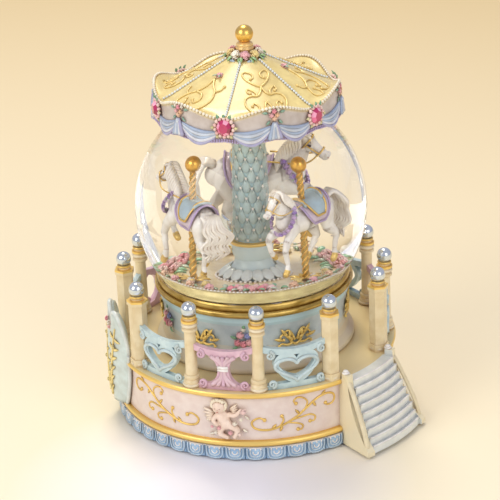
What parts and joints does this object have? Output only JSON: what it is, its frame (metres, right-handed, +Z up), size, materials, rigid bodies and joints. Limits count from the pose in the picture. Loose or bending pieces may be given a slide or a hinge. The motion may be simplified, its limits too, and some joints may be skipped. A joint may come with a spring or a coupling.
{
  "type": "carousel music box",
  "caption": "Carousel music box: horses turn in a liquid-filled glass globe under a tent canopy, on a fenced drum base with a staircase and a winding key below.",
  "frame": {"origin": "on the table under the globe axis, at the middle of the felt ring that it stands on", "axes": "+Z up along the globe axis, front relief towards -Y, staircase towards +X and the front"},
  "size_m": [0.1405, 0.1234, 0.1716],
  "materials": {
    "cream_resin": "pearly cream paint on cast resin, gilt bands",
    "blue_resin": "pearly pale blue paint on cast resin",
    "pedestal_resin": "pearly grey-blue paint on cast resin",
    "stair_resin": "pearly grey-blue paint with white edges",
    "canopy_resin": "satin cream paint on cast resin, gilt relief",
    "ivory_resin": "pearly ivory paint on cast resin",
    "pink_resin": "pearly pink paint on cast resin",
    "panel_blue_resin": "pearly sky blue paint on cast resin",
    "pearl": "silvery blue pearl bead",
    "gem": "faceted pink glass stone",
    "gilt": "satin gilt",
    "globe_glass": "clear blown glass",
    "stopper_rubber": "moulded rubber",
    "brass": "bright brass",
    "steel": "bright steel",
    "zinc_casting": "plain zinc casting",
    "horse_resin": "pearly white paint on cast resin",
    "column_resin": "pearly turquoise paint on cast resin",
    "stage_resin": "pearly cream paint on cast resin",
    "cover_plastic": "matte moulded plastic",
    "felt": "thin glued felt"
  },
  "bodies": {
    "housing": {"arbor_brackets": "zinc_casting", "base_drum": "cream_resin", "bottom_cover": "cover_plastic", "bow_panel_01": "pink_resin", "bow_panel_06": "pink_resin", "bow_panel_07": "pink_resin", "bow_panel_10": "pink_resin", "canopy": "canopy_resin", "canopy_finial": "gilt", "canopy_gems": "gem", "comb_block": "brass", "cover_screws": "steel", "felt_ring": "felt", "fence_pearls": "pearl", "fence_post_01": "ivory_resin", "fence_post_02": "ivory_resin", "fence_post_03": "ivory_resin", "fence_post_04": "ivory_resin", "fence_post_05": "ivory_resin", "fence_post_06": "ivory_resin", "fence_post_07": "ivory_resin", "fence_post_08": "ivory_resin", "fence_post_09": "ivory_resin", "fence_post_10": "ivory_resin", "fence_post_11": "ivory_resin", "fence_post_12": "ivory_resin", "foot_moulding": "blue_resin", "globe_collar": "gilt", "globe_glass": "globe_glass", "globe_pedestal": "pedestal_resin", "globe_stopper": "stopper_rubber", "heart_panel_02": "panel_blue_resin", "heart_panel_03": "panel_blue_resin", "heart_panel_04": "panel_blue_resin", "heart_panel_05": "panel_blue_resin", "heart_panel_08": "panel_blue_resin", "heart_panel_09": "panel_blue_resin", "movement_bedplate": "zinc_casting", "music_comb": "steel", "shaft_seal": "brass", "side_crest": "blue_resin", "staircase": "stair_resin"},
    "carousel": {"carousel_stage": "stage_resin", "carousel_column": "column_resin", "horse_1": "horse_resin", "horse_2": "horse_resin", "horse_3": "horse_resin", "pole_1": "gilt", "pole_2": "gilt", "pole_3": "gilt", "drive_shaft": "steel", "spring_barrel": "brass", "mainspring": "steel"},
    "key": {"winding_key": "steel", "winding_arbor": "steel"},
    "cylinder": {"music_cylinder": "brass", "cylinder_arbor": "steel"},
    "governor": {"governor_arbor": "steel", "governor_fan": "brass"}
  },
  "joints": [
    {"name": "carousel_spin", "type": "hinge", "parent": "housing", "child": "carousel", "pos_m": [0, 0, 0.066], "axis": [0, 0, 1], "continuous": true},
    {"name": "cylinder_spin", "type": "hinge", "parent": "housing", "child": "cylinder", "pos_m": [0, 0.024, 0.03188], "axis": [0, 1, 0], "continuous": true},
    {"name": "governor_spin", "type": "hinge", "parent": "housing", "child": "governor", "pos_m": [0.01035, 0.024, 0.03913], "axis": [0, 1, 0], "continuous": true},
    {"name": "key_wind", "type": "hinge", "parent": "housing", "child": "key", "pos_m": [0, 0, 0.007], "axis": [0, 0, 1], "continuous": true}
  ],
  "couplings": [
    {"joint": "cylinder_spin", "follows": "carousel_spin", "ratio": 3},
    {"joint": "governor_spin", "follows": "carousel_spin", "ratio": -12}
  ]
}
